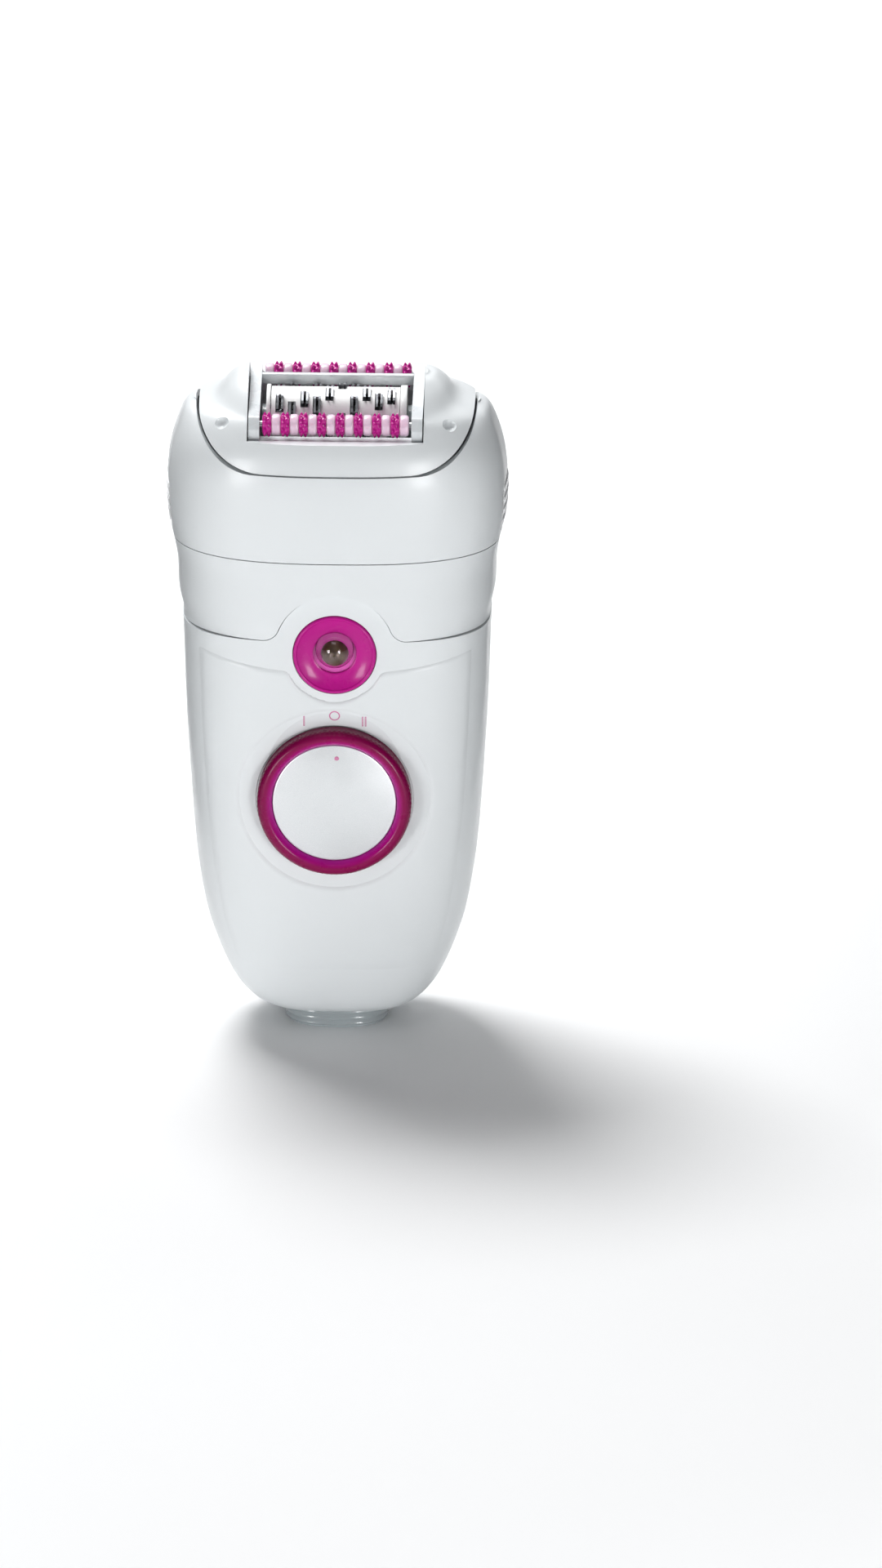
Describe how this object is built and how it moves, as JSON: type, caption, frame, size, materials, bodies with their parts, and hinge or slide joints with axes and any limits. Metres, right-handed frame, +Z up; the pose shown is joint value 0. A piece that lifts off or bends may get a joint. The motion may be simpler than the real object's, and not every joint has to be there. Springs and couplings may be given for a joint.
{
  "type": "epilator",
  "caption": "Hand-held corded epilator with a rotary speed dial, a lamp, a pull-off tweezer head and a cap with massage rollers.",
  "frame": {"origin": "centre of the underside of the whole part's bounding box, at the flat end of the power socket that it stands on", "axes": "+Z up along the handle to the tweezer head, the front with the dial faces -Y, +X to the right seen from the front"},
  "size_m": [0.0684, 0.0444, 0.1384],
  "materials": {
    "white_gloss": "gloss",
    "white_satin": "satin",
    "frame_white": "satin",
    "ring_magenta": "gloss",
    "bezel_magenta": "translucent gloss",
    "wheel_magenta": "gloss",
    "bead_lilac": "translucent satin",
    "dome_clear": "clear",
    "lamp_amber": "clear",
    "grey_plastic": "satin",
    "dark_plastic": "matt",
    "natural_plastic": "satin",
    "steel": "brushed",
    "spring_steel": "polished",
    "nickel": "plated",
    "brass": "satin",
    "copper": "enamelled",
    "iron": "matt",
    "board_green": "solder mask",
    "lead_sleeve": "matt"
  },
  "bodies": {
    "handle": {"front_housing": "white_gloss", "rear_housing": "white_gloss", "housing_screws": "steel", "neck_deck": "grey_plastic", "socket_body": "grey_plastic", "socket_pins": "nickel", "light_bezel": "bezel_magenta", "light_dome": "dome_clear", "led_lamp": "lamp_amber", "light_reflector": "dark_plastic", "switch_body": "dark_plastic", "circuit_board": "board_green", "board_components": "dark_plastic", "motor_leads": "lead_sleeve", "socket_leads": "lead_sleeve", "motor_can": "steel", "motor_magnets": "iron", "motor_end_cap": "natural_plastic", "motor_terminals": "brass", "motor_cradle": "dark_plastic", "cradle_screws": "steel"},
    "dial": {"dial_ring": "ring_magenta", "dial_cap": "white_satin", "dial_carrier": "natural_plastic", "dial_clip": "steel"},
    "speed_slider": {"switch_slider": "natural_plastic"},
    "rotor": {"motor_shaft": "steel", "motor_armature": "copper", "motor_commutator": "brass", "drive_pinion": "natural_plastic"},
    "head": {"head_skirt": "white_gloss", "head_shell": "white_gloss", "head_chassis": "grey_plastic", "chassis_screws": "steel", "drum_bushes": "brass", "idler_pin": "steel"},
    "crown": {"crown_gear": "natural_plastic", "crown_shaft": "steel", "train_pinion": "natural_plastic"},
    "idler": {"idler_gear": "natural_plastic"},
    "drum": {"drum_axle": "steel", "drum_core": "white_satin", "fixed_tweezers": "spring_steel", "drum_gear": "natural_plastic"},
    "closer": {"moving_tweezers": "spring_steel"},
    "button_right": {"release_button_right": "white_satin", "button_spring_right": "steel"},
    "button_left": {"release_button_left": "white_satin", "button_spring_left": "steel"},
    "cap": {"massage_cap": "white_gloss"},
    "frame": {"frame_cheeks": "frame_white", "frame_bar": "frame_white", "frame_comb": "frame_white", "front_roller_axle": "steel", "rear_roller_axle": "steel"},
    "front_roller": {"front_roller_wheels": "wheel_magenta", "front_roller_beads": "bead_lilac"},
    "rear_roller": {"rear_roller_wheels": "wheel_magenta", "rear_roller_beads": "bead_lilac"}
  },
  "joints": [
    {"name": "dial_turn", "type": "hinge", "parent": "handle", "child": "dial", "pos_m": [0, -0.018, 0.0536], "axis": [0, -1, 0], "range_deg": [-21, 21]},
    {"name": "speed_slide", "type": "slide", "parent": "handle", "child": "speed_slider", "axis": [1, 0, 0], "range_m": [-0.0029, 0.0029]},
    {"name": "motor_spin", "type": "hinge", "parent": "handle", "child": "rotor", "pos_m": [0, 0.001, 0.064], "axis": [0, 0, 1], "continuous": true},
    {"name": "head_lift", "type": "slide", "parent": "handle", "child": "head", "axis": [0, 0, 1], "range_m": [0, 0.045]},
    {"name": "crown_spin", "type": "hinge", "parent": "head", "child": "crown", "pos_m": [0, 0.001, 0.1069], "axis": [1, 0, 0], "continuous": true},
    {"name": "idler_spin", "type": "hinge", "parent": "head", "child": "idler", "pos_m": [0.0134, 0.00113, 0.11635], "axis": [1, 0, 0], "continuous": true},
    {"name": "drum_spin", "type": "hinge", "parent": "head", "child": "drum", "pos_m": [0, -0.001, 0.1277], "axis": [1, 0, 0], "continuous": true},
    {"name": "tweezer_close", "type": "slide", "parent": "drum", "child": "closer", "axis": [1, 0, 0], "range_m": [0, 0.00042], "stiffness_N_per_m": 300, "springref_m": -0.0005},
    {"name": "button_right_press", "type": "slide", "parent": "head", "child": "button_right", "axis": [-1, 0, 0], "range_m": [0, 0.0015], "stiffness_N_per_m": 400, "springref_m": -0.001, "deforming": ["button_spring_right"]},
    {"name": "button_left_press", "type": "slide", "parent": "head", "child": "button_left", "axis": [1, 0, 0], "range_m": [0, 0.0015], "stiffness_N_per_m": 400, "springref_m": -0.001, "deforming": ["button_spring_left"]},
    {"name": "cap_lift", "type": "slide", "parent": "head", "child": "cap", "axis": [0, 0, 1], "range_m": [0, 0.03]},
    {"name": "frame_pivot", "type": "hinge", "parent": "cap", "child": "frame", "pos_m": [0, -0.001, 0.1277], "axis": [1, 0, 0], "range_deg": [-6, 6], "stiffness_Nm_per_rad": 0.03},
    {"name": "front_roller_spin", "type": "hinge", "parent": "frame", "child": "front_roller", "pos_m": [0, -0.01203, 0.13138], "axis": [1, 0, 0], "continuous": true},
    {"name": "rear_roller_spin", "type": "hinge", "parent": "frame", "child": "rear_roller", "pos_m": [0, 0.00881, 0.13394], "axis": [1, 0, 0], "continuous": true}
  ],
  "couplings": [
    {"joint": "speed_slide", "follows": "dial_turn", "m_per_rad": 0.0075},
    {"joint": "crown_spin", "follows": "motor_spin", "ratio": 0.41667},
    {"joint": "idler_spin", "follows": "motor_spin", "ratio": -0.33333},
    {"joint": "drum_spin", "follows": "motor_spin", "ratio": 0.27778}
  ]
}
